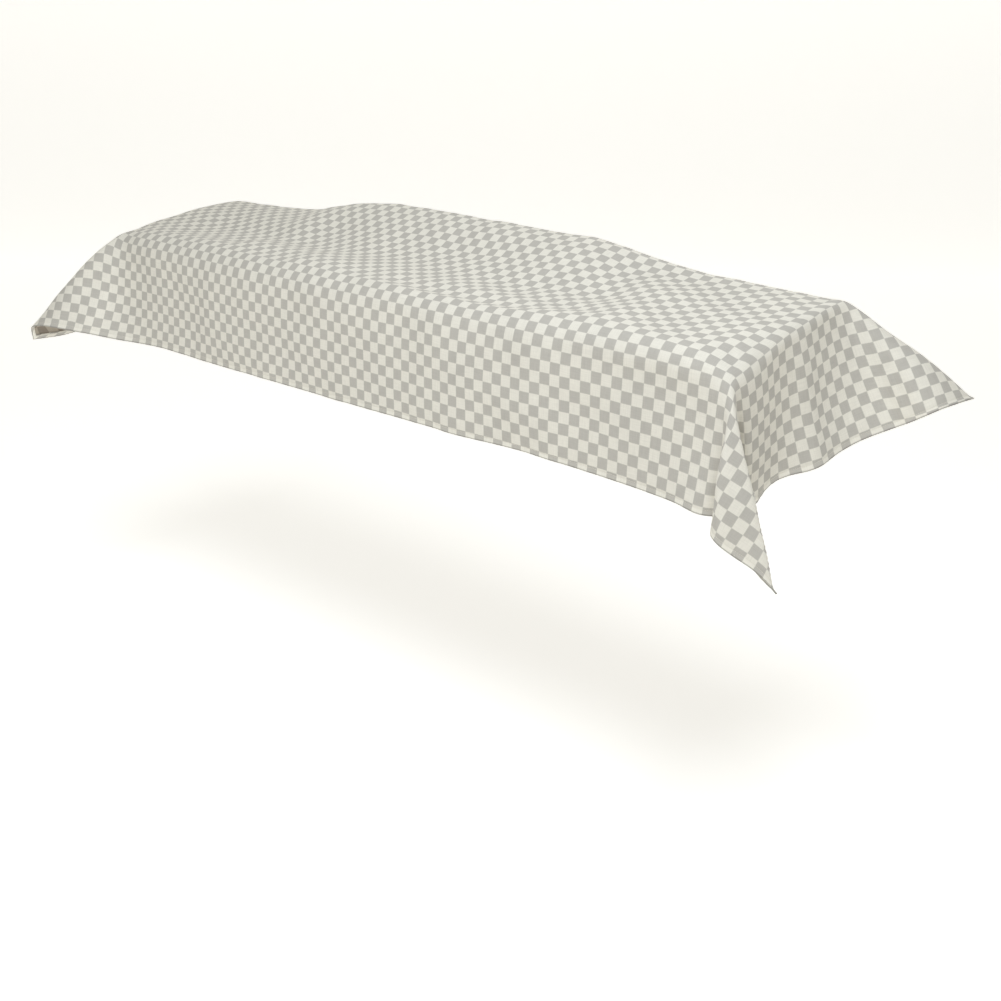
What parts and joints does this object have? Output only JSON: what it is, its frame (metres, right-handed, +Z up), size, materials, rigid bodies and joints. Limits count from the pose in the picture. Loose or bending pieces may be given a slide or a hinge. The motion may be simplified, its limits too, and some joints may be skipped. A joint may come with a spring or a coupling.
{
  "type": "draped keyboard cover",
  "caption": "Hemmed rectangular cloth in a light two-tone check, draped over the top of a long keyboard, with hanging sides and flared corners.",
  "frame": {"origin": "on the cloth's underside at the middle of its top, where the keyboard under it carries it", "axes": "+X along the cover's length to the right, +Y from the front edge to the back, +Z up"},
  "size_m": [1.623, 0.52, 0.3352],
  "materials": {
    "checked_canvas": "plain-woven cotton canvas, cream and warm grey squares of 16.5 mm, matt"
  },
  "bodies": {
    "root": {"piano_cover": "checked_canvas"}
  },
  "joints": []
}
